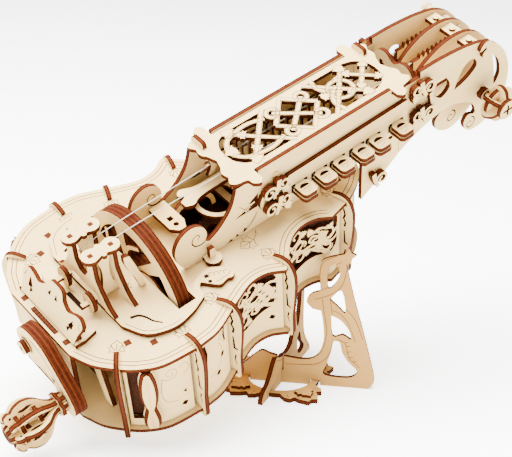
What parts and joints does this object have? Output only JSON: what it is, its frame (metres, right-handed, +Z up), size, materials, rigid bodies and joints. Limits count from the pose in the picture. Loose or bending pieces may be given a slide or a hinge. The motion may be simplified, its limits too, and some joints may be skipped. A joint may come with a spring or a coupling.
{
  "type": "hurdy-gurdy",
  "caption": "Crank-driven wooden hurdy-gurdy of laser-cut plywood, head raised on a crossed-board stand, with a rosin wheel, fretted keybox lid, push keys and tuners.",
  "frame": {"origin": "on the table, under the middle of the object's bounding box", "axes": "+Z up; +X in plan from the crank towards the head; +Y towards the far side, away from the keys. The stand tips the instrument 20 degrees head-up and 21 degrees far-side-up."},
  "size_m": [0.3802, 0.1638, 0.2294],
  "materials": {
    "birch_plywood": "bare laser-cut birch plywood, matt",
    "shaded_plywood": "bare darker birch plywood, matt",
    "yellow_plywood": "bare yellowish plywood, matt",
    "string_thread": "taut twisted white thread"
  },
  "bodies": {
    "instrument": {"soundboard": "birch_plywood", "back_plate": "shaded_plywood", "rib_a_near": "birch_plywood", "rib_a_far": "birch_plywood", "rib_b_near": "birch_plywood", "rib_b_far": "birch_plywood", "rib_c_near": "birch_plywood", "rib_c_far": "birch_plywood", "rib_d_near": "birch_plywood", "rib_d_far": "birch_plywood", "rib_e_near": "birch_plywood", "rib_e_far": "birch_plywood", "side_panel_1_near": "birch_plywood", "side_panel_1_far": "birch_plywood", "side_panel_2_near": "birch_plywood", "side_panel_2_far": "birch_plywood", "side_panel_3_near": "birch_plywood", "side_panel_3_far": "birch_plywood", "side_panel_4_near": "birch_plywood", "side_panel_4_far": "birch_plywood", "crank_end_board": "birch_plywood", "wheel_bearing": "birch_plywood", "head_end_board": "birch_plywood", "tail_crest": "birch_plywood", "wheel_cradle": "birch_plywood", "trestle_rear": "birch_plywood", "trestle_front": "birch_plywood", "string_cap_near": "birch_plywood", "string_cap_far": "birch_plywood", "keybox_near_wall": "birch_plywood", "keybox_far_wall": "birch_plywood", "key_guide": "birch_plywood", "string_bridge": "yellow_plywood", "head_near_plate": "birch_plywood", "head_far_plate": "birch_plywood", "head_inner_plate_near": "birch_plywood", "head_inner_plate_far": "birch_plywood", "head_cross_board": "birch_plywood", "head_floor": "birch_plywood", "string_near": "string_thread", "string_far": "string_thread", "stand_board_near": "shaded_plywood", "stand_board_far": "shaded_plywood", "stand_ring": "shaded_plywood"},
    "crank": {"wheel": "birch_plywood", "drive_shaft": "shaded_plywood", "crank_arm": "birch_plywood", "shaft_lock": "yellow_plywood"},
    "handle": {"crank_handle": "birch_plywood"},
    "lid": {"keybox_lid": "birch_plywood"},
    "key_1": {"key_1": "birch_plywood"},
    "key_2": {"key_2": "birch_plywood"},
    "key_3": {"key_3": "birch_plywood"},
    "key_4": {"key_4": "birch_plywood"},
    "key_5": {"key_5": "birch_plywood"},
    "key_6": {"key_6": "birch_plywood"},
    "near_tuner": {"tuner_near": "birch_plywood"},
    "far_tuner": {"tuner_far": "birch_plywood"},
    "near_rack": {"rack_near": "birch_plywood"},
    "far_rack": {"rack_far": "birch_plywood"}
  },
  "joints": [
    {"name": "crank_spin", "type": "hinge", "parent": "instrument", "child": "crank", "pos_m": [-0.0846, -0.00732, 0.08823], "axis": [0.9397, 0, 0.342], "continuous": true},
    {"name": "handle_spin", "type": "hinge", "parent": "crank", "child": "handle", "pos_m": [-0.14761, -0.03294, 0.03476], "axis": [0.9397, 0, 0.342], "continuous": true},
    {"name": "lid_hinge", "type": "hinge", "parent": "instrument", "child": "lid", "pos_m": [0.01353, -0.00351, 0.18762], "axis": [-0.9397, 0, -0.342], "range_deg": [0, 60]},
    {"name": "near_tuner_turn", "type": "hinge", "parent": "instrument", "child": "near_tuner", "pos_m": [0.16223, -0.03019, 0.17613], "axis": [-0.1226, 0.9336, 0.3368], "range_deg": [0, 120]},
    {"name": "far_tuner_turn", "type": "hinge", "parent": "instrument", "child": "far_tuner", "pos_m": [0.15288, -0.0004, 0.2208], "axis": [-0.1226, 0.9336, 0.3368], "range_deg": [0, 120]},
    {"name": "near_rack_slide", "type": "slide", "parent": "instrument", "child": "near_rack", "axis": [0.9397, 0, 0.342], "range_m": [0, 0.005]},
    {"name": "far_rack_slide", "type": "slide", "parent": "instrument", "child": "far_rack", "axis": [0.9397, 0, 0.342], "range_m": [0, 0.005]},
    {"name": "key_1_press", "type": "slide", "parent": "instrument", "child": "key_1", "axis": [-0.1226, 0.9336, 0.3368], "range_m": [0, 0.005], "stiffness_N_per_m": 15, "springref_m": -0.002},
    {"name": "key_2_press", "type": "slide", "parent": "instrument", "child": "key_2", "axis": [-0.1226, 0.9336, 0.3368], "range_m": [0, 0.005], "stiffness_N_per_m": 15, "springref_m": -0.002},
    {"name": "key_3_press", "type": "slide", "parent": "instrument", "child": "key_3", "axis": [-0.1226, 0.9336, 0.3368], "range_m": [0, 0.005], "stiffness_N_per_m": 15, "springref_m": -0.002},
    {"name": "key_4_press", "type": "slide", "parent": "instrument", "child": "key_4", "axis": [-0.1226, 0.9336, 0.3368], "range_m": [0, 0.005], "stiffness_N_per_m": 15, "springref_m": -0.002},
    {"name": "key_5_press", "type": "slide", "parent": "instrument", "child": "key_5", "axis": [-0.1226, 0.9336, 0.3368], "range_m": [0, 0.005], "stiffness_N_per_m": 15, "springref_m": -0.002},
    {"name": "key_6_press", "type": "slide", "parent": "instrument", "child": "key_6", "axis": [-0.1226, 0.9336, 0.3368], "range_m": [0, 0.005], "stiffness_N_per_m": 15, "springref_m": -0.002}
  ],
  "couplings": [
    {"joint": "near_tuner_turn", "follows": "near_rack_slide", "rad_per_m": 400},
    {"joint": "far_tuner_turn", "follows": "far_rack_slide", "rad_per_m": 400}
  ]
}
